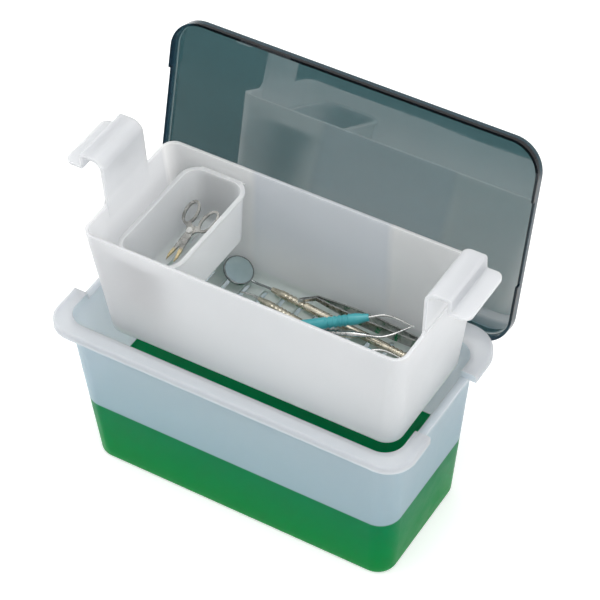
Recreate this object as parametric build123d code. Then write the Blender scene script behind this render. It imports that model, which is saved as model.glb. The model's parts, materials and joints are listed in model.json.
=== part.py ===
from build123d import *
from math import atan2, cos, degrees, hypot, radians, sin
import os

# Instrument soaking tub: tub with green solution, lift-out basket held above it, hinged lid open.
# Frame: millimetres, X along the tub, Y from front to back, Z up. The origin is the centre of
# the tub's underside, so the part stands on Z = 0.

# Tub shell
TUB_BOTTOM = (251.2, 108.4)   # outside length and width at the underside
TUB_TOP = (275.6, 125.4)      # outside length and width just under the rim
TUB_H = 141.0                 # height over the rim
TUB_R = (15.0, 18.0)          # outside corner radius at the bottom and at the top
TUB_WALL = 2.6
TUB_FLOOR = 2.4
TUB_FOOT_R = 4.5              # rounding round the underside

# Rim
RIM_X = 147.2                 # half length over the rim
RIM_FRONT = -71.8
RIM_BACK = 80.0               # the rim is wider at the back, where it carries the hinges
RIM_R = 21.0
RIM_BACK_R = 26.0             # the back corners are fuller, clear of the swinging lid
RIM_T = 2.4
LIP_H = 6.6                   # the edge turned down round the rim
LIP_T = 2.2
NOTCH_W = 65.5                # gap in both ends for the basket's hooks
NOTCH_X = 141.0               # how far out the rim reaches inside the gap
NOTCH_Z = TUB_H - 5.8         # height of the ledge the hooks rest on
NOTCH_Y = 2.3                 # the gap's middle, a little towards the back
RUN_GAP = 0.3                 # gap between pieces that touch

# Lid, described closed and then swung open about the hinge
LID_X = 149.0                 # half length
LID_FRONT = -73.2
LID_BACK = 88.0
LID_R = 24.0
LID_T = 2.0
SKIRT_H = 8.0
RELIEF_H = 3.0                # shallow relief in the end skirts over the hooks
OPEN_DEG = 105.5
HINGE_Y = 78.3
HINGE_Z = TUB_H - 0.4
HINGE_X = 85.0                # the two hinges stand at plus and minus this
PIN_R = 2.0
BARREL_R = 3.9
BARREL_L = 17.0
LUG_T = 4.0
PIN_HEAD = 1.0

# Solution
LEVEL = 59.0

# Basket, in its own frame: origin at the centre of its underside
BASKET_BOTTOM = (236.8, 100.6)
BASKET_TOP = (255.6, 114.0)
BASKET_H = 95.8
BASKET_R = (14.0, 10.0)
BASKET_WALL = 2.3
BASKET_FLOOR = 2.4
STRAP_W = 50.0
STRAP_T = 2.5
HOOK_UP = 39.4                # top of the hook above the basket's edge
HOOK_LEAN = 1.6               # how far the strap leans out over that height
HOOK_OUT = 16.8               # reach of the hook's flat top
HOOK_STEP = 10.9              # height of the step down to the finger flange
FLANGE_OUT = 13.3
HOOK_BEND = (6.5, 9.0)        # inner and outer radius where the strap turns into the flat top
LIFT_X, LIFT_Y = 9.6, 3.3     # where the photograph holds the raised basket
LIFT_Z = TUB_H - 9.0          # its underside is still a little below the rim

# Small tray that hangs in the left end of the basket
TRAY_X = (-103.4, -57.4)      # inside, at its edge
TRAY_Y = 48.6                 # half width inside, at its edge
TRAY_TOP = 86.0
TRAY_DEEP = 46.0
TRAY_T = 1.8
TRAY_EDGE = 3.2               # width of the turned-out edge
LEDGE_T = 3.0

# Hand instruments, as they lie in the basket: both ends of each handle, then its radius
MIRROR_ENDS = ((-32.0, 37.0, 7.0), (100.0, 25.0, 6.0))
SCALER_ENDS = ((-28.0, -13.9, 8.2), (52.0, 31.0, 25.5))
EXPLORER_ENDS = ((-34.0, -2.9, 5.5), (54.0, 24.2, 14.1))
EXCAVATOR_ENDS = ((-14.0, -24.0, 5.6), (63.0, 14.5, 12.4))
PROBE_ENDS = ((-36.0, 25.4, 5.4), (88.0, 6.6, 5.4))
TWEEZER_ENDS = ((100.0, 41.0, 6.9), (-7.0, 41.6, 11.9))
THICK_GRIP_R = 4.2
SLIM_GRIP_R = 2.8
MIRROR_GRIP_R = 3.0
SHANK_R = 1.1
POINT_R = 0.45
MIRROR_AT = (-60.0, 36.5, 13.2)
MIRROR_R = 11.6
MIRROR_FACING = (0.47, -0.075, 0.879)
TWEEZER_W = 8.0               # width of the legs
# Reach and sideways bend of each working end, first the near one
SCALER_TIPS = ((20.0, 4.0), (32.0, -13.0))
EXPLORER_TIPS = ((19.0, -4.0), (30.0, 11.0))
EXCAVATOR_TIPS = ((18.0, 4.0), (22.0, -7.0))
PROBE_TIPS = ((16.0, 3.0), (18.0, 3.0))
# Small scissors in the tray: they lean on its back wall, points on the floor
PIVOT_AT = (-88.0, 19.0, 52.25)
SCISSORS_TILT = 21.8
SCISSORS_AXIS = -95.0
SPREAD = 8.0                  # each half is turned this far from closed
BLADE_L = 26.0
RING_AT = (-14.0, 5.6)
RING_OUT = (10.0, 5.7)        # half length and half width of the oval ring
RING_W = 2.0
HALF_T = 1.6                  # thickness of one half
HALF_STEP = 1.9               # the upper half lies this much higher
SCREW_R = 1.25


def rounded_box(bottom, top, height, radii, z0=0.0, centre=(0.0, 0.0)):
    """Drafted block with round corners: a straight loft between two rounded rectangles."""
    with BuildPart() as block:
        for size, radius, z in ((bottom, radii[0], z0), (top, radii[1], z0 + height)):
            with BuildSketch(Plane.XY.offset(z)):
                with Locations(centre):
                    RectangleRounded(size[0], size[1], radius)
        loft(ruled=True)
    return block.part


def grown(size, by):
    return (size[0] + 2 * by, size[1] + 2 * by)


def between(low, high, t):
    return tuple(a + (b - a) * t for a, b in zip(low, high))


def block(x0, x1, y0, y1, z0, z1):
    return Pos((x0 + x1) / 2, (y0 + y1) / 2, (z0 + z1) / 2) * Box(x1 - x0, y1 - y0, z1 - z0)


def rod_x(x0, x1, y, z, r):
    return Pos((x0 + x1) / 2, y, z) * Rot(0, 90, 0) * Cylinder(r, x1 - x0)


def low_edges(part, z):
    return [e for e in part.edges() if abs(e.center().Z - z) < 0.01]


def plate(x, front, back, radii, z0, z1, by=0.0):
    """Flat slab with round corners, front and back radii; `by` draws its outline in."""
    with BuildPart() as slab:
        with BuildSketch(Plane.XY.offset(z0)) as outline:
            with Locations((0, (front + back) / 2)):
                Rectangle(2 * (x - by), back - front - 2 * by)
            corners = outline.vertices().sort_by(Axis.Y)
            fillet(corners[:2], radii[0] - by)
            fillet(outline.vertices().sort_by(Axis.Y)[-2:], radii[1] - by)
        extrude(amount=z1 - z0)
    return slab.part


def make_tub():
    outer = rounded_box(TUB_BOTTOM, TUB_TOP, TUB_H, TUB_R)
    outer = fillet(low_edges(outer, 0), TUB_FOOT_R)
    inside_low = between(TUB_BOTTOM, TUB_TOP, TUB_FLOOR / TUB_H)
    hollow = rounded_box(grown(inside_low, -TUB_WALL), grown(TUB_TOP, -TUB_WALL), TUB_H - TUB_FLOOR,
                         (TUB_R[0] - TUB_WALL, TUB_R[1] - TUB_WALL), TUB_FLOOR)
    hollow = fillet(low_edges(hollow, TUB_FLOOR), 3.0)

    lip_z = TUB_H - LIP_H
    rim = plate(RIM_X, RIM_FRONT, RIM_BACK, (RIM_R, RIM_BACK_R), lip_z, TUB_H)
    rim = fillet(rim.faces().sort_by(Axis.Z)[-1].edges(), 2.0)
    rim -= plate(RIM_X, RIM_FRONT, RIM_BACK, (RIM_R, RIM_BACK_R), lip_z - 1, TUB_H - RIM_T, LIP_T)
    for side in (-1, 1):
        x_out = side * (RIM_X + 1)
        x_in = side * NOTCH_X
        gap = NOTCH_W / 2
        wall_x = side * (TUB_TOP[0] / 2 - TUB_WALL - 1)
        # cheeks close the turned-down edge on both sides of the gap
        for y in (-gap, gap):
            out = LIP_T if y > 0 else -LIP_T
            cheek = block(*sorted((side * (RIM_X - 1.2), wall_x)), *sorted((y + NOTCH_Y, y + NOTCH_Y + out)),
                          lip_z, TUB_H - 0.4)
            rim += cheek
        rim -= block(*sorted((x_out, x_in)), NOTCH_Y - gap, NOTCH_Y + gap, lip_z - 2, TUB_H + 1)
        rim -= block(*sorted((x_in, wall_x)), NOTCH_Y - gap, NOTCH_Y + gap, NOTCH_Z, TUB_H + 1)
        ledge = block(*sorted((x_in, wall_x)), NOTCH_Y - gap - 1, NOTCH_Y + gap + 1, NOTCH_Z - 2.6, NOTCH_Z)
        rim += ledge
        outer -= block(*sorted((x_in, wall_x)), NOTCH_Y - gap, NOTCH_Y + gap, NOTCH_Z, TUB_H + 1)
    tub = outer + rim
    for side in (-1, 1):
        tub = add_lugs(tub, side * HINGE_X, lip_z)
    tub -= hollow
    return tub


def add_lugs(tub, x, lip_z):
    """Two lugs, the gap for the lid's barrel between them and two stops under the rim."""
    half = BARREL_L / 2 + 0.4
    tub -= block(x - half, x + half, HINGE_Y - BARREL_R - 0.8, RIM_BACK + 1, lip_z - 1, TUB_H + 1)
    tub += block(x - half - LUG_T, x + half + LUG_T, HINGE_Y - BARREL_R - 3.0, HINGE_Y - BARREL_R - 0.8,
                 lip_z, TUB_H - RIM_T / 2)
    for s in (-1, 1):
        a, b = sorted((x + s * half, x + s * (half + LUG_T)))
        tub += rod_x(a, b, HINGE_Y, HINGE_Z, BARREL_R)
        tub += block(a, b, HINGE_Y - BARREL_R - 2, HINGE_Y + BARREL_R - 1.4, lip_z, HINGE_Z)
        tub -= rod_x(a - 0.5, b + 0.5, HINGE_Y, HINGE_Z, PIN_R + 0.05)
        # pocket for the pin's head
        head = x + s * (half + LUG_T)
        tub -= rod_x(*sorted((head, head + s * (PIN_HEAD + 0.6))), HINGE_Y, HINGE_Z, PIN_R + 1.3)
        stop = s * (half + LUG_T + 7)
        tub += block(x + stop - 3, x + stop + 3, HINGE_Y - 7.4, HINGE_Y - 2.4, lip_z - 3.4, TUB_H - 1)
    return tub


def make_solution():
    """The liquid: the tub's hollow up to the level, a hair smaller all round."""
    t0 = (TUB_FLOOR + RUN_GAP) / TUB_H
    t1 = LEVEL / TUB_H
    low = grown(between(TUB_BOTTOM, TUB_TOP, t0), -TUB_WALL - RUN_GAP)
    high = grown(between(TUB_BOTTOM, TUB_TOP, t1), -TUB_WALL - RUN_GAP)
    corner = TUB_R[0] - TUB_WALL
    liquid = rounded_box(low, high, LEVEL - TUB_FLOOR - RUN_GAP, (corner, corner + 1.2), TUB_FLOOR + RUN_GAP)
    return fillet(low_edges(liquid, TUB_FLOOR + RUN_GAP), 3.0)


def make_lid():
    """The lid closed: slab, skirt and two hinge legs with barrels."""
    skirt_z = TUB_H + RUN_GAP
    top = skirt_z + SKIRT_H + LID_T
    lid = plate(LID_X, LID_FRONT, LID_BACK, (LID_R, LID_R), skirt_z, top)
    lid = fillet(lid.faces().sort_by(Axis.Z)[-1].edges(), 3.0)
    lid -= fillet(plate(LID_X, LID_FRONT, LID_BACK, (LID_R, LID_R), skirt_z - 1, top - LID_T, LID_T)
                  .faces().sort_by(Axis.Z)[-1].edges(), 1.5)
    half = NOTCH_W / 2 + 1
    for side in (-1, 1):
        lid -= block(*sorted((side * (LID_X + 1), side * (LID_X - LID_T - 1))), NOTCH_Y - half, NOTCH_Y + half,
                     skirt_z - 1, skirt_z + RELIEF_H)
        x = side * HINGE_X
        a, b = x - BARREL_L / 2, x + BARREL_L / 2
        lid += block(a, b, HINGE_Y - BARREL_R + 0.6, HINGE_Y + BARREL_R - 0.6, HINGE_Z, top - LID_T / 2)
        lid += rod_x(a, b, HINGE_Y, HINGE_Z, BARREL_R)
        lid -= rod_x(a - 1, b + 1, HINGE_Y, HINGE_Z, PIN_R + RUN_GAP / 3)
    return lid


def swing(part, deg):
    """Turns a piece of the closed lid open about the hinge line."""
    return Pos(0, HINGE_Y, HINGE_Z) * Rot(-deg, 0, 0) * Pos(0, -HINGE_Y, -HINGE_Z) * part


def make_pin(side):
    half = BARREL_L / 2 + 0.4 + LUG_T
    x = side * HINGE_X
    pin = rod_x(x - half, x + half, HINGE_Y, HINGE_Z, PIN_R)
    for s in (-1, 1):
        a, b = sorted((x + s * half, x + s * (half + PIN_HEAD)))
        pin += rod_x(a, b, HINGE_Y, HINGE_Z, PIN_R + 0.9)
    return pin


def hook_profile():
    """Side view of one handle: strap, flat top, step down and finger flange."""
    wall_x = BASKET_TOP[0] / 2
    draft = (BASKET_TOP[0] - BASKET_BOTTOM[0]) / 2 / BASKET_H
    root = BASKET_H - 12
    top = BASKET_H + HOOK_UP
    lean = wall_x + HOOK_LEAN
    out = lean + HOOK_OUT
    tip = out + FLANGE_OUT
    flange = top - HOOK_STEP
    t = STRAP_T
    points = [(wall_x - 12 * draft - 0.2, root), (lean, top - t), (out - t, top - t), (out - t, flange - t),
              (tip, flange - t), (tip, flange), (out, flange), (out, top), (lean - t, top),
              (wall_x - 12 * draft - t + 0.2, root)]
    return points


def make_handle(side):
    points = [(side * x, z) for x, z in hook_profile()]
    with BuildPart() as handle:
        with BuildSketch(Plane.XZ.offset(-STRAP_W / 2)):
            with BuildLine():
                Polyline(*points, close=True)
            make_face()
        extrude(amount=STRAP_W)
    part = handle.part
    corners = {(1, HOOK_BEND[0]), (2, 1.2), (3, 1.6), (6, 1.2), (7, 2.2), (8, HOOK_BEND[1])}
    for index, radius in corners:
        x, z = points[index]
        edge = [e for e in part.edges() if abs(e.center().X - x) < 0.02 and abs(e.center().Z - z) < 0.02]
        part = fillet(edge, radius)
    tip_x = points[4][0]
    ends = [e for e in part.edges().filter_by(Axis.Z) if abs(e.center().X - tip_x) < 0.02]
    return fillet(ends, 6.0)


def make_basket():
    outer = rounded_box(BASKET_BOTTOM, BASKET_TOP, BASKET_H, BASKET_R)
    outer = fillet(low_edges(outer, 0), 6.0)
    inside_low = between(BASKET_BOTTOM, BASKET_TOP, BASKET_FLOOR / BASKET_H)
    hollow = rounded_box(grown(inside_low, -BASKET_WALL), grown(BASKET_TOP, -BASKET_WALL), BASKET_H - BASKET_FLOOR,
                         (BASKET_R[0] - BASKET_WALL, BASKET_R[1] - BASKET_WALL), BASKET_FLOOR)
    hollow = fillet(low_edges(hollow, BASKET_FLOOR), 4.0)
    basket = outer - hollow
    for side in (-1, 1):
        basket += make_handle(side)
        # small fillets in plan where the strap grows out of the edge
        for s in (-1, 1):
            y = s * STRAP_W / 2
            basket += strap_foot(side, y, s)
        # ledge that the small tray hangs on
        mid = (TRAY_X[0] + TRAY_X[1]) / 2
        wall_y = BASKET_TOP[1] / 2 - BASKET_WALL
        basket += block(mid - 18, mid + 18, *sorted((side * (wall_y - 2.6), side * (wall_y + 1.2))),
                        TRAY_TOP - TRAY_T - RUN_GAP - LEDGE_T, TRAY_TOP - TRAY_T - RUN_GAP)
    # drain slots through the floor
    with BuildPart() as slots:
        with BuildSketch(Plane.XY.offset(-1)):
            with GridLocations(15.0, 44.0, 14, 2):
                SlotOverall(32.0, 4.2, rotation=90)
        extrude(amount=BASKET_FLOOR + 4)
    return basket - slots.part


def strap_foot(side, y, s):
    """Concave foot between the strap's edge and the basket's top edge."""
    r = 4.0
    x1 = side * (BASKET_TOP[0] / 2 + 0.16)
    x0 = side * (BASKET_TOP[0] / 2 - BASKET_WALL + 0.1)
    x0, x1 = sorted((x0, x1))
    foot = block(x0, x1, *sorted((y - s * 0.6, y + s * r)), BASKET_H - 1.0, BASKET_H + r)
    return foot - rod_x(x0 - 1, x1 + 1, y + s * r, BASKET_H + r, r)


def make_tray():
    """Small hanging tray: drafted shell with a turned-out edge and drain slots."""
    mid = (TRAY_X[0] + TRAY_X[1]) / 2
    inner = (TRAY_X[1] - TRAY_X[0], 2 * TRAY_Y)
    low = (inner[0] - 5, inner[1] - 6)
    bottom = TRAY_TOP - TRAY_DEEP
    outer = rounded_box(grown(low, TRAY_T), grown(inner, TRAY_T), TRAY_DEEP, (10 + TRAY_T, 12 + TRAY_T), bottom, (mid, 0))
    outer = fillet(low_edges(outer, bottom), 3.0)
    edge = rounded_box(grown(inner, TRAY_EDGE), grown(inner, TRAY_EDGE), TRAY_T, (12 + TRAY_EDGE, 12 + TRAY_EDGE),
                       TRAY_TOP - TRAY_T, (mid, 0))
    hollow = rounded_box(low, inner, TRAY_DEEP - TRAY_T, (10, 12), bottom + TRAY_T, (mid, 0))
    hollow = fillet(low_edges(hollow, bottom + TRAY_T), 2.5)
    tray = outer + edge - hollow
    with BuildPart() as slots:
        with BuildSketch(Plane.XY.offset(bottom - 1)):
            with Locations((mid, 0)):
                with GridLocations(9.0, 26.0, 3, 3):
                    SlotOverall(17.0, 3.4, rotation=90)
        extrude(amount=TRAY_T + 4)
    return tray - slots.part


# Hand instruments. Each is drawn along +X from its own origin and then laid from a to b.

def laid(part, a, b, roll=0.0):
    dx, dy, dz = (q - p for p, q in zip(a, b))
    yaw = degrees(atan2(dy, dx))
    pitch = degrees(atan2(dz, hypot(dx, dy)))
    return Pos(*a) * Rot(0, 0, yaw) * Rot(0, -pitch, 0) * Rot(roll, 0, 0) * part


def turned(points):
    """Round piece about the X axis from (x, radius) points."""
    with BuildPart() as body:
        with BuildSketch(Plane.XY):
            with BuildLine():
                Polyline((points[0][0], 0), *points, (points[-1][0], 0), close=True)
            make_face()
        revolve(axis=Axis.X)
    return body.part


def grip(length, r, socket):
    """Handle with waisted ends, two grooved bands and a socket at each end."""
    points = [(0, r * 0.62), (5, r * 0.8), (9, r)]
    for start in (13, length - 31):
        for k in range(5):
            x = start + 3.6 * k
            points += [(x, r), (x + 0.6, r - 0.45), (x + 1.8, r - 0.45), (x + 2.4, r)]
    points += [(length - 9, r), (length - 5, r * 0.8), (length, r * 0.62)]
    body = turned(points)
    for x0, x1 in ((-0.1, 6), (length - 6, length + 0.1)):
        body -= rod_x(x0, x1, 0, 0, socket + 0.05)
    return body


def wire(points, radius, end_radius):
    """Bent shank: straight and curved runs of round wire, thinner at its point."""
    with BuildPart() as run:
        with BuildLine() as path:
            Spline(*points, tangents=[(1, 0, 0), tuple(q - p for p, q in zip(points[-2], points[-1]))])
        line = path.line
        with BuildSketch(Plane(origin=line @ 0, z_dir=line % 0)):
            Circle(radius)
        with BuildSketch(Plane(origin=line @ 0.55, z_dir=line % 0.55)):
            Circle((radius + end_radius) / 2)
        with BuildSketch(Plane(origin=line @ 1, z_dir=line % 1)):
            Circle(end_radius)
        sweep(path=line, multisection=True)
    return run.part


def tip(length, bend):
    """Working end: a stub that fills the handle's socket, a shank and a bent point."""
    shank = wire([(0, 0, 0), (length * 0.35, 0, 0), (length * 0.7, bend * 0.45, 0), (length, bend, 0)],
                 SHANK_R, POINT_R)
    return rod_x(-5.8, 0, 0, 0, SHANK_R) + shank


def instrument(ends, r, tips, roll=0.0):
    """Handle between its ends with its two working ends, as three pieces."""
    a, b = ends
    length = hypot(*(q - p for p, q in zip(a, b)))
    pieces = [laid(grip(length, r, SHANK_R), a, b, roll)]
    far = Pos(length, 0, 0) * tip(*tips[1])
    near = Rot(0, 0, 180) * tip(*tips[0])
    pieces += [laid(near, a, b, roll), laid(far, a, b, roll)]
    return pieces


def make_mirror():
    """Mouth mirror: handle, cup with its stem, and the glass in the cup."""
    a, b = MIRROR_ENDS
    length = hypot(*(q - p for p, q in zip(a, b)))
    handle = laid(grip(length, MIRROR_GRIP_R, SHANK_R), a, b)
    facing = Vector(*MIRROR_FACING)
    plane = Plane(origin=MIRROR_AT, z_dir=facing)
    cup = plane.location * (Cylinder(MIRROR_R, 2.6) - Pos(0, 0, 0.9) * Cylinder(MIRROR_R - 0.9, 1.3))
    cup = fillet([e for e in cup.edges().filter_by(GeomType.CIRCLE) if abs(e.radius - MIRROR_R) < 0.01], 0.6)
    toward = Vector(*a) - Vector(*MIRROR_AT)
    across = toward - facing * toward.dot(facing)
    start = Vector(*MIRROR_AT) + across.normalized() * (MIRROR_R - 0.6)
    direction = tuple(q - p for p, q in zip(a, b))
    with BuildPart() as stem:
        with BuildLine() as path:
            Spline(tuple(start), a, tangents=[tuple(across.normalized()), direction])
        line = path.line
        with BuildSketch(Plane(origin=line @ 0, z_dir=line % 0)):
            Circle(0.9)
        sweep(path=line)
    stub = laid(rod_x(0, 5.8, 0, 0, SHANK_R), a, b)
    glass = plane.location * Pos(0, 0, 0.75) * Cylinder(MIRROR_R - 1.0, 0.8)
    return handle, cup + stem.part + stub, glass


def make_tweezers():
    """College tweezers on their side: two springy legs joined at the back, points bent."""
    half = TWEEZER_W / 2

    def leg(s):
        outer = [(0, s * 1.2), (25, s * 3.0), (60, s * 4.2), (84, s * 2.6), (97, s * 1.5)]
        inner = [(x, y - s * 1.1) for x, y in outer]
        bend = [(107, s * 1.3 + 9), (107.8, s * 1.3 + 8.4 - s * 0.6)]
        ring = outer + bend[::int(s)] + inner[::-1]
        with BuildPart() as body:
            with BuildSketch(Plane.XY.offset(-half)):
                with BuildLine():
                    Polyline(*ring, close=True)
                make_face()
            extrude(amount=TWEEZER_W)
        return body.part
    pair = leg(1) + leg(-1) + block(-9, 3, -2.2, 2.2, -half, half)
    # the legs taper in side view towards the points
    for s in (-1, 1):
        with BuildPart() as cut:
            with BuildSketch(Plane.XZ.offset(-20)):
                with BuildLine():
                    Polyline((50, s * (half + 0.01)), (109, s * 0.9), (109, s * (half + 2)), (50, s * (half + 2)),
                             close=True)
                make_face()
            extrude(amount=40)
        pair -= cut.part
    return laid(pair, *TWEEZER_ENDS)


def scissor_half(s):
    """One half of the small scissors, drawn flat: oval ring, shank and blade."""
    x, y = RING_AT
    with BuildPart() as half:
        with BuildSketch(Plane.XY.offset(-HALF_T / 2)):
            with Locations((x, s * y)):
                Ellipse(*RING_OUT)
            with BuildLine():
                Polyline((x + 9.0, s * (y + 1.6)), (x + 7.2, s * (y - 3.4)), (-4, -s * 1.8), (4, -s * 2.9),
                         (BLADE_L - 4, -s * 1.4), (BLADE_L, 0), (6, s * 1.6), (-2, s * 3.2), close=True)
            make_face()
            with Locations((x, s * y)):
                Ellipse(RING_OUT[0] - RING_W, RING_OUT[1] - RING_W, mode=Mode.SUBTRACT)
        extrude(amount=HALF_T)
    return half.part - Cylinder(SCREW_R + 0.1, 6)


def make_scissors():
    """Two halves, one above the other, on a screw; rings towards the back."""
    place = Pos(*PIVOT_AT) * Rot(SCISSORS_TILT, 0, 0) * Rot(0, 0, SCISSORS_AXIS)
    low = place * Rot(0, 0, -SPREAD) * scissor_half(1)
    high = place * Rot(0, 0, SPREAD) * Pos(0, 0, HALF_STEP) * scissor_half(-1)
    screw = Pos(0, 0, HALF_STEP / 2) * Cylinder(SCREW_R, 4.2)
    for z in (-1.35, HALF_STEP + 1.35):
        screw += Pos(0, 0, z) * Cylinder(2.2, 0.9)
    return low, high, place * screw


def main():
    os.makedirs("parts", exist_ok=True)
    raised = Pos(LIFT_X, LIFT_Y, LIFT_Z)
    pieces = {
        "tub": make_tub(),
        "solution": make_solution(),
        "lid": swing(make_lid(), OPEN_DEG),
        "hinge_pin_left": make_pin(-1),
        "hinge_pin_right": make_pin(1),
        "basket": raised * make_basket(),
        "small_tray": raised * make_tray(),
    }
    mirror = make_mirror()
    scissors = make_scissors()
    scaler = instrument(SCALER_ENDS, THICK_GRIP_R, SCALER_TIPS, 12)
    explorer = instrument(EXPLORER_ENDS, SLIM_GRIP_R, EXPLORER_TIPS, 10)
    excavator = instrument(EXCAVATOR_ENDS, SLIM_GRIP_R, EXCAVATOR_TIPS, 15)
    probe = instrument(PROBE_ENDS, SLIM_GRIP_R, PROBE_TIPS)
    loose = {
        "mirror_handle": mirror[0], "mirror_cup": mirror[1], "mirror_glass": mirror[2],
        "tweezers": make_tweezers(),
        "scissors_lower_half": scissors[0], "scissors_upper_half": scissors[1], "scissors_screw": scissors[2],
    }
    for name, parts in (("scaler", scaler), ("explorer", explorer), ("excavator", excavator), ("probe", probe)):
        for label, piece in zip(("handle", "near_tip", "far_tip"), parts):
            loose[name + "_" + label] = piece
    for name, piece in loose.items():
        pieces[name] = raised * piece
    for name, piece in pieces.items():
        export_step(piece, "parts/" + name + ".step")
        print(name, round(piece.volume), len(piece.solids()))


main()
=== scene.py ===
import json
import math

import bmesh
import bpy
from mathutils import Matrix, Vector

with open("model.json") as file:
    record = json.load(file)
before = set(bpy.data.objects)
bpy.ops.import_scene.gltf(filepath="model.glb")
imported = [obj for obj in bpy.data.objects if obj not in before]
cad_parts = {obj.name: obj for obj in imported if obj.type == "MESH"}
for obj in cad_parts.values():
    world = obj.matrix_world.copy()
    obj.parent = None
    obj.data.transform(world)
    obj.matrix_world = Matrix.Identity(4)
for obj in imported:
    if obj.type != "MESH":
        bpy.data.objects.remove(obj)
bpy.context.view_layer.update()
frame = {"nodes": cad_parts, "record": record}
nodes = frame["nodes"]

# Camera at the photograph's place, with its lens; the picture is 600 pixels wide
CAMERA_AT = Vector((0.7142, -1.0879, 1.4560))
YAW, PITCH, ROLL = math.radians(32.3), math.radians(44.6), math.radians(1.79)
FOCAL_PIXELS = 2611.3
PICTURE_PIXELS = 600.0
SENSOR_MM = 36.0

# Height of the solution in the tub and of the tub's rim, in metres
LEVEL = 0.059
RIM_TOP = 0.141

# The open lid: its hinge line, the way its inner face looks and how far that face lies from the line
LID_HINGE = Vector((0.0, 0.0783, 0.1406))
LID_OPEN = math.radians(105.5)
LID_FACING = Vector((0.0, -math.sin(LID_OPEN), -math.cos(LID_OPEN)))
LID_FACE_DEPTH = 0.0087

# The raised basket: its middle along the tub, the top of its floor and its edge
BASKET_MIDDLE = 0.0100
BASKET_FLOOR = 0.1344
BASKET_EDGE = 0.2278

# Where the small tray's wall toward the instruments begins, along the tub; from there the wall is painted
# lighter
TRAY_SIDE = -0.0525

# The scissors' gilt points lie in front of this place across the tub
GILT_FROM = 0.005

# Light soaks through the milky walls: how far, in metres
SOAK = 0.02
GLOW = {"Subsurface_Weight": 1.0, "Subsurface_Radius": (1.0, 1.0, 1.0), "Subsurface_Scale": SOAK}

# Blends between dark and pale all sit on this middle part of a noise
NOISE_LOW, NOISE_HIGH = 0.3, 0.7


def make_camera():
    forward = Vector((-math.sin(YAW) * math.cos(PITCH), math.cos(YAW) * math.cos(PITCH), -math.sin(PITCH)))
    right = Vector((math.cos(YAW), math.sin(YAW), 0.0))
    down = forward.cross(right)
    turned_right = right * math.cos(ROLL) + down * math.sin(ROLL)
    turned_down = down * math.cos(ROLL) - right * math.sin(ROLL)
    data = bpy.data.cameras.new("camera")
    data.sensor_width = SENSOR_MM
    data.lens = FOCAL_PIXELS / PICTURE_PIXELS * SENSOR_MM
    data.clip_start = 0.05
    camera = bpy.data.objects.new("camera", data)
    bpy.context.collection.objects.link(camera)
    turn = Matrix((turned_right, -turned_down, -forward)).transposed()
    camera.matrix_world = Matrix.Translation(CAMERA_AT) @ turn.to_4x4()
    bpy.context.scene.camera = camera


make_camera()
bpy.context.scene.view_settings.view_transform = "Standard"


# Small helpers for materials

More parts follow.
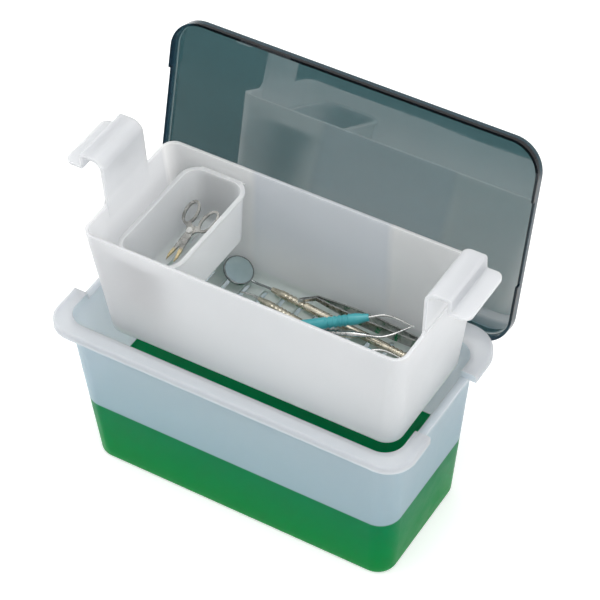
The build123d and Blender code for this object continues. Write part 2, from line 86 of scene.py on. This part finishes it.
class Finish:
    """One material's node tree, with short ways to add and join nodes."""

    def __init__(self, name):
        self.material = bpy.data.materials.new(name)
        self.material.use_nodes = True
        self.tree = self.material.node_tree
        self.tree.nodes.clear()
        self.output = self.tree.nodes.new("ShaderNodeOutputMaterial")
        self.place = self.tree.nodes.new("ShaderNodeTexCoord").outputs["Object"]

    def node(self, kind, **settings):
        made = self.tree.nodes.new(kind)
        for key, value in settings.items():
            setattr(made, key, value)
        return made

    def join(self, source, socket):
        self.tree.links.new(source, socket)

    def noise(self, scale, detail):
        made = self.node("ShaderNodeTexNoise")
        made.inputs["Scale"].default_value = scale
        made.inputs["Detail"].default_value = detail
        self.join(self.place, made.inputs["Vector"])
        return made.outputs["Fac"]

    def patches(self, scale, detail, first, second):
        """Soft patches of two values or two colours."""
        noise = self.noise(scale, detail)
        if isinstance(first, tuple):
            return self.blend(self.span(noise, NOISE_LOW, NOISE_HIGH, 0.0, 1.0), first, second)
        return self.span(noise, NOISE_LOW, NOISE_HIGH, first, second)

    def span(self, source, low, high, to_low, to_high, smooth=False):
        """Maps a value from low..high to to_low..to_high, held at both ends."""
        made = self.node("ShaderNodeMapRange")
        made.clamp = True
        if smooth:
            made.interpolation_type = "SMOOTHSTEP"
        for key, value in (("From Min", low), ("From Max", high), ("To Min", to_low), ("To Max", to_high)):
            made.inputs[key].default_value = value
        self.join(source, made.inputs["Value"])
        return made.outputs["Result"]

    def maths(self, operation, first, second):
        made = self.node("ShaderNodeMath", operation=operation)
        for socket, value in zip(made.inputs, (first, second)):
            if isinstance(value, float):
                socket.default_value = value
            else:
                self.join(value, socket)
        return made.outputs["Value"]

    def along(self, axis):
        parts = self.node("ShaderNodeSeparateXYZ")
        self.join(self.place, parts.inputs["Vector"])
        return parts.outputs[axis]

    def inward(self):
        """1 on upright faces that look toward the middle, 0 on those that look away from it."""
        normal = self.node("ShaderNodeTexCoord").outputs["Normal"]
        level = self.node("ShaderNodeVectorMath", operation="MULTIPLY")
        self.join(self.place, level.inputs[0])
        level.inputs[1].default_value = (1.0, 1.0, 0.0)
        dot = self.node("ShaderNodeVectorMath", operation="DOT_PRODUCT")
        self.join(level.outputs["Vector"], dot.inputs[0])
        self.join(normal, dot.inputs[1])
        return self.span(dot.outputs["Value"], -0.012, -0.002, 1.0, 0.0)

    def blend(self, factor, first, second):
        """A colour between two; each is a colour or a socket."""
        made = self.node("ShaderNodeMix", data_type="RGBA")
        self.join(factor, made.inputs["Factor"])
        colours = [s for s in made.inputs if s.type == "RGBA"]
        for socket, value in zip(colours, (first, second)):
            if isinstance(value, tuple):
                socket.default_value = (*value, 1.0)
            else:
                self.join(value, socket)
        return [s for s in made.outputs if s.type == "RGBA"][0]

    def bumps(self, *layers):
        """Layers of (height socket, depth in metres), the coarse one first."""
        normal = None
        for height, depth in layers:
            made = self.node("ShaderNodeBump")
            made.inputs["Strength"].default_value = 1.0
            made.inputs["Distance"].default_value = depth
            self.join(height, made.inputs["Height"])
            if normal:
                self.join(normal, made.inputs["Normal"])
            normal = made.outputs["Normal"]
        return normal

    def surface(self, colour, rough, normal=None, **values):
        shader = self.node("ShaderNodeBsdfPrincipled")
        self.join(colour, shader.inputs["Base Color"])
        self.join(rough, shader.inputs["Roughness"])
        if normal:
            self.join(normal, shader.inputs["Normal"])
        for key, value in values.items():
            shader.inputs[key.replace("_", " ")].default_value = value
        self.join(shader.outputs["BSDF"], self.output.inputs["Surface"])
        return shader


def tub_plastic():
    """Milky polypropylene, green below the level where the solution shows through the wall, with painted
    light on the faces that look inward.
    """
    f = Finish("tub_plastic")
    z = f.along("Z")
    cloud = f.noise(9.0, 2.0)
    height = f.span(z, LEVEL, RIM_TOP, 0.0, 1.0)
    wall = f.blend(height, (0.32, 0.46, 0.56), (0.43, 0.54, 0.63))
    wall = f.blend(f.span(cloud, 0.35, 0.65, 0.0, 0.5), wall, (0.38, 0.50, 0.61))
    rim = f.span(z, RIM_TOP - 0.009, RIM_TOP - 0.004, 0.0, 1.0, True)
    wall = f.blend(rim, wall, (0.51, 0.53, 0.56))
    # painted light: the upright faces that look inward are made lighter, standing in for light that soaks
    # through the milky wall into the tub
    wall = f.blend(f.inward(), wall, (0.54, 0.65, 0.76))
    wet = f.span(z, LEVEL - 0.0008, LEVEL + 0.0008, 1.0, 0.0, True)
    depth = f.span(z, 0.0, LEVEL, 0.0, 1.0)
    green = f.blend(depth, (0.0, 0.25, 0.045), (0.0, 0.19, 0.065))
    colour = f.blend(wet, wall, green)
    rough = f.patches(60.0, 4.0, 0.30, 0.42)
    normal = f.bumps((f.noise(14.0, 2.0), 0.0006), (f.noise(900.0, 3.0), 0.00004))
    f.surface(colour, rough, normal, IOR=1.49, Alpha=0.80, Specular_IOR_Level=0.05, **GLOW)
    return f.material


def basket_plastic():
    """Milky like the tub, a little greener on its floor, with painted shade and light: bluer and darker in
    the middle of the rear wall, pale at its ends and foot, and darker on the hooks.
    """
    f = Finish("basket_plastic")
    cloud = f.noise(11.0, 2.0)
    colour = f.blend(f.span(cloud, 0.35, 0.65, 0.0, 1.0), (0.62, 0.64, 0.67), (0.66, 0.67, 0.70))
    # painted shade and light on the rear wall: bluish and darker in its middle, pale at its ends and
    # toward its foot
    at_back = f.span(f.along("Y"), 0.046, 0.050, 0.0, 1.0)
    from_middle = f.maths("ABSOLUTE", f.maths("SUBTRACT", f.along("X"), BASKET_MIDDLE), 0.0)
    sides_painted_light = f.span(from_middle, 0.052, 0.060, 0.0, 1.0, True)
    foot_painted_light = f.span(f.along("Z"), BASKET_FLOOR + 0.010, BASKET_FLOOR + 0.055, 1.0, 0.0, True)
    middle = f.blend(foot_painted_light, (0.62, 0.67, 0.77), (0.90, 0.95, 1.0))
    rear = f.blend(sides_painted_light, middle, (0.94, 0.95, 0.95))
    colour = f.blend(at_back, colour, rear)
    # painted shade: the hooks above the basket's edge are made darker, as their tops lie in shade
    hook_tops_painted_shade = f.span(f.along("Z"), BASKET_EDGE + 0.002, BASKET_EDGE + 0.010, 0.0, 1.0, True)
    colour = f.blend(hook_tops_painted_shade, colour, (0.56, 0.58, 0.61))
    low = f.span(f.along("Z"), BASKET_FLOOR + 0.0002, BASKET_FLOOR + 0.008, 1.0, 0.0, True)
    inside = f.span(f.along("Z"), BASKET_FLOOR - 0.0009, BASKET_FLOOR - 0.0002, 0.0, 1.0)
    colour = f.blend(f.maths("MULTIPLY", low, inside), colour, (0.79, 0.91, 0.85))
    rough = f.patches(70.0, 4.0, 0.34, 0.46)
    normal = f.bumps((f.noise(16.0, 2.0), 0.0005), (f.noise(900.0, 3.0), 0.00004))
    f.surface(colour, rough, normal, IOR=1.49, Alpha=0.88, **GLOW)
    return f.material


def tray_plastic():
    """Milky, with painted light: paler on the wall that faces the instruments."""
    f = Finish("tray_plastic")
    cloud = f.noise(13.0, 2.0)
    colour = f.blend(f.span(cloud, 0.35, 0.65, 0.0, 1.0), (0.82, 0.85, 0.87), (0.85, 0.88, 0.90))
    # painted light: the wall toward the instruments is made paler
    instrument_side_painted_light = f.span(f.along("X"), TRAY_SIDE - 0.002, TRAY_SIDE, 0.0, 1.0)
    colour = f.blend(instrument_side_painted_light, colour, (0.95, 0.98, 0.98))
    rough = f.patches(75.0, 4.0, 0.34, 0.46)
    normal = f.bumps((f.noise(18.0, 2.0), 0.0004), (f.noise(900.0, 3.0), 0.00004))
    f.surface(colour, rough, normal, IOR=1.49, Alpha=0.80, **GLOW)
    return f.material


def lid_smoke():
    """Smoked clear acrylic: tinted see-through under a polish that mirrors the basket."""
    f = Finish("lid_smoke")
    cloud = f.noise(7.0, 2.0)
    tint = f.blend(f.span(cloud, 0.35, 0.65, 0.0, 1.0), (0.175, 0.28, 0.295), (0.195, 0.30, 0.315))
    clear = f.node("ShaderNodeBsdfTransparent")
    gloss = f.node("ShaderNodeBsdfPrincipled")
    gloss.inputs["Base Color"].default_value = (0.98, 0.94, 0.92, 1.0)
    gloss.inputs["Metallic"].default_value = 1.0
    f.join(f.patches(50.0, 3.0, 0.02, 0.06), gloss.inputs["Roughness"])
    normal = f.bumps((f.noise(10.0, 1.0), 0.0003))
    f.join(normal, gloss.inputs["Normal"])
    # the flat inner face is the polished one; its plane leans back with the open lid
    depth = f.node("ShaderNodeVectorMath", operation="DOT_PRODUCT")
    f.join(f.place, depth.inputs[0])
    depth.inputs[1].default_value = LID_FACING
    at_face = LID_HINGE.dot(LID_FACING) - LID_FACE_DEPTH
    inner = f.span(depth.outputs["Value"], at_face - 0.0009, at_face - 0.0003, 0.0, 1.0)
    skirt = f.span(depth.outputs["Value"], at_face + 0.0004, at_face + 0.0014, 1.0, 0.0)
    polished = f.maths("MULTIPLY", inner, skirt)
    facing = f.node("ShaderNodeLayerWeight").outputs["Facing"]
    grazing = f.maths("POWER", facing, 5.0)
    tint = f.blend(skirt, (0.07, 0.13, 0.17), tint)
    # painted reflection: the mirrored share is made stronger near the hinge and weaker toward the free
    # edge
    polish = f.span(f.along("Z"), 0.15, 0.27, 0.50, 0.15)
    share = f.maths("MAXIMUM", f.maths("MAXIMUM", f.maths("MULTIPLY", polished, polish), 0.05), grazing)
    f.join(tint, clear.inputs["Color"])
    mix = f.node("ShaderNodeMixShader")
    f.join(share, mix.inputs["Fac"])
    f.join(clear.outputs["BSDF"], mix.inputs[1])
    f.join(gloss.outputs["BSDF"], mix.inputs[2])
    f.join(mix.outputs["Shader"], f.output.inputs["Surface"])
    return f.material


def solution_green():
    f = Finish("solution_green")
    z = f.along("Z")
    colour = f.blend(f.span(z, 0.0, LEVEL, 0.0, 1.0), (0.0, 0.40, 0.11), (0.0, 0.40, 0.12))
    colour = f.blend(f.patches(6.0, 1.0, 0.0, 0.35), colour, (0.0, 0.46, 0.15))
    rough = f.patches(25.0, 2.0, 0.03, 0.08)
    normal = f.bumps((f.noise(18.0, 1.0), 0.0006))
    f.surface(colour, rough, normal, IOR=1.34, Alpha=0.97, Specular_IOR_Level=0.25)
    return f.material


def steel(name="steel", pale=(0.60, 0.60, 0.58), dark=(0.34, 0.34, 0.33), gilt_below=None):
    f = Finish(name)
    colour = f.patches(120.0, 4.0, dark, pale)
    if gilt_below:
        gold = f.blend(f.noise(150.0, 3.0), (0.50, 0.40, 0.22), (0.62, 0.52, 0.32))
        tip = f.span(f.along("Y"), gilt_below, gilt_below + 0.004, 1.0, 0.0, True)
        colour = f.blend(tip, colour, gold)
    rough = f.patches(260.0, 4.0, 0.16, 0.34)
    f.surface(colour, rough, f.bumps((f.noise(2600.0, 2.0), 0.00001)), Metallic=1.0)
    return f.material


def mirror():
    f = Finish("mirror")
    # painted reflection over real silvering: the glass's colour is a darkened teal-grey that stands in for
    # the dark things it mirrors
    colour = f.patches(90.0, 2.0, (0.42, 0.53, 0.54), (0.50, 0.61, 0.62))
    rough = f.span(f.noise(150.0, 3.0), 0.3, 0.8, 0.01, 0.04)
    f.surface(colour, rough, None, Metallic=1.0)
    return f.material


def teal_grip():
    f = Finish("teal_grip")
    colour = f.patches(80.0, 3.0, (0.035, 0.30, 0.34), (0.06, 0.38, 0.41))
    rough = f.patches(200.0, 3.0, 0.26, 0.40)
    f.surface(colour, rough, f.bumps((f.noise(1400.0, 2.0), 0.00003)), IOR=1.5)
    return f.material


FINISHES = {
    "tub_plastic": tub_plastic(), "basket_plastic": basket_plastic(), "lid_smoke": lid_smoke(),
    "solution_green": solution_green(), "steel": steel(),
    "gilt_steel": steel("gilt_steel", (0.38, 0.38, 0.36), (0.20, 0.20, 0.19), GILT_FROM),
    "mirror": mirror(), "teal_grip": teal_grip(), "tray_plastic": tray_plastic(),
    "dark_steel": steel("dark_steel", (0.30, 0.32, 0.32), (0.14, 0.16, 0.16)),
    "warm_steel": steel("warm_steel", (0.66, 0.61, 0.50), (0.44, 0.40, 0.31)),
}

# Pieces whose finish differs from the one that the record names
OWN_FINISH = {
    "small_tray": "tray_plastic", "mirror_cup": "dark_steel", "mirror_handle": "warm_steel",
    "probe_handle": "warm_steel",
}


def dress_nodes():
    slots = {row["node"]: row["material_slot"] for row in frame["record"]["subparts"]}
    for name, piece in nodes.items():
        piece.data.materials.clear()
        piece.data.materials.append(FINISHES[OWN_FINISH.get(name, slots[name])])


dress_nodes()


# Floor, world and lamps

def background_rays(tree):
    """1 for rays that show the background: straight, mirrored or seen through."""
    rays = tree.nodes.new("ShaderNodeLightPath")
    total = rays.outputs["Is Camera Ray"]
    for name in ("Is Glossy Ray", "Is Transmission Ray"):
        more = tree.nodes.new("ShaderNodeMath")
        more.operation = "MAXIMUM"
        tree.links.new(total, more.inputs[0])
        tree.links.new(rays.outputs[name], more.inputs[1])
        total = more.outputs["Value"]
    return total


def flat_sheet(name, x, y, z):
    """Level sheet over x and y ranges that only dresses the stage."""
    bm = bmesh.new()
    corners = [bm.verts.new((x[i], y[j], z)) for i, j in ((0, 0), (1, 0), (1, 1), (0, 1))]
    bm.faces.new(corners)
    mesh = bpy.data.meshes.new(name)
    bm.to_mesh(mesh)
    bm.free()
    sheet = bpy.data.objects.new(name, mesh)
    bpy.context.collection.objects.link(sheet)
    return sheet


def white_floor():
    floor = flat_sheet("floor", (-6.0, 6.0), (-6.0, 6.0), -0.0004)
    f = Finish("floor_paper")
    colour = f.patches(3.0, 2.0, (0.92, 0.92, 0.92), (0.94, 0.94, 0.94))
    shader = f.surface(colour, f.patches(8.0, 3.0, 0.85, 0.95), None, Specular_IOR_Level=0.1)
    shader.inputs["Emission Color"].default_value = (1.0, 1.0, 1.0, 1.0)
    f.join(f.span(background_rays(f.tree), 0.0, 1.0, 0.0, 0.35), shader.inputs["Emission Strength"])
    floor.data.materials.append(f.material)


white_floor()


def white_world():
    world = bpy.data.worlds.new("studio")
    bpy.context.scene.world = world
    world.use_nodes = True
    tree = world.node_tree
    background = tree.nodes["Background"]
    strength = tree.nodes.new("ShaderNodeMapRange")
    strength.inputs["To Min"].default_value = 0.75
    strength.inputs["To Max"].default_value = 1.0
    tree.links.new(background_rays(tree), strength.inputs["Value"])
    tree.links.new(strength.outputs["Result"], background.inputs["Strength"])
    background.inputs["Color"].default_value = (1.0, 1.0, 1.0, 1.0)


white_world()

# The middle of the object, where every lamp looks
AIM = Vector((0.0, 0.0, 0.12))


def lamp(name, at, size, power):
    """Soft lamp of the given width and height, turned to AIM."""
    data = bpy.data.lights.new(name, "AREA")
    data.shape = "RECTANGLE"
    data.size, data.size_y = size
    data.energy = power
    made = bpy.data.objects.new(name, data)
    bpy.context.collection.objects.link(made)
    made.location = at
    made.rotation_euler = (AIM - Vector(at)).to_track_quat("-Z", "Y").to_euler()


lamp("key_lamp", (1.4, -0.9, 1.4), (1.2, 1.0), 12.5)
lamp("overhead_lamp", (0.0, 0.0, 1.6), (0.9, 0.6), 7.0)
lamp("fill_lamp", (-1.3, -0.9, 0.9), (1.2, 1.0), 8.0)


def dark_card():
    """Dark card in front of the tub that only mirrored rays see; it stands for a dim room."""
    card = flat_sheet("dark_card", (-1.6, 0.5), (-1.6, -0.22), 0.004)
    for way in ("camera", "diffuse", "transmission", "shadow", "volume_scatter"):
        setattr(card, "visible_" + way, False)
    f = Finish("card_paper")
    colour = f.patches(4.0, 2.0, (0.05, 0.06, 0.06), (0.07, 0.08, 0.08))
    f.surface(colour, f.patches(8.0, 3.0, 0.85, 0.95), None, Specular_IOR_Level=0.1)
    card.data.materials.append(f.material)


dark_card()
